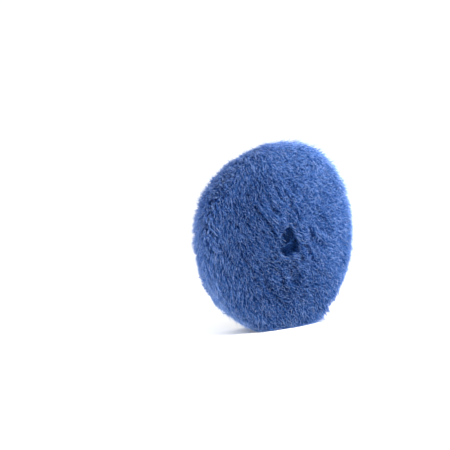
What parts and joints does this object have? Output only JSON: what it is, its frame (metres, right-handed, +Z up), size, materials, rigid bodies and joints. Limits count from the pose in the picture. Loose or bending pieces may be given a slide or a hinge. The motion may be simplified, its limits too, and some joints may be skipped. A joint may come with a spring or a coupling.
{
  "type": "polishing pad",
  "caption": "Round wool polishing pad: dense blue pile face, thin foam interface, black loop backing and a centring hole.",
  "frame": {"origin": "centre of the centring hole on the loop face", "axes": "+Y along the pad's axis, out of the loop face towards the polisher; +Z up, with the pad standing on its rim; +X to the right, seen from the wool side"},
  "size_m": [0.17, 0.0318, 0.163],
  "materials": {
    "loop_fabric": "brushed nylon loop, matte black",
    "hot_melt": "thin translucent adhesive film",
    "foam": "open-cell polyurethane foam, pale blue",
    "knit": "knitted base cloth, dark blue",
    "wool": "dense fluffy wool pile, mid blue with paler tips"
  },
  "bodies": {
    "root": {"loop_backing": "loop_fabric", "backing_film": "hot_melt", "foam_interface": "foam", "pile_film": "hot_melt", "pile_cloth": "knit", "wool_pile": "wool"}
  },
  "joints": []
}
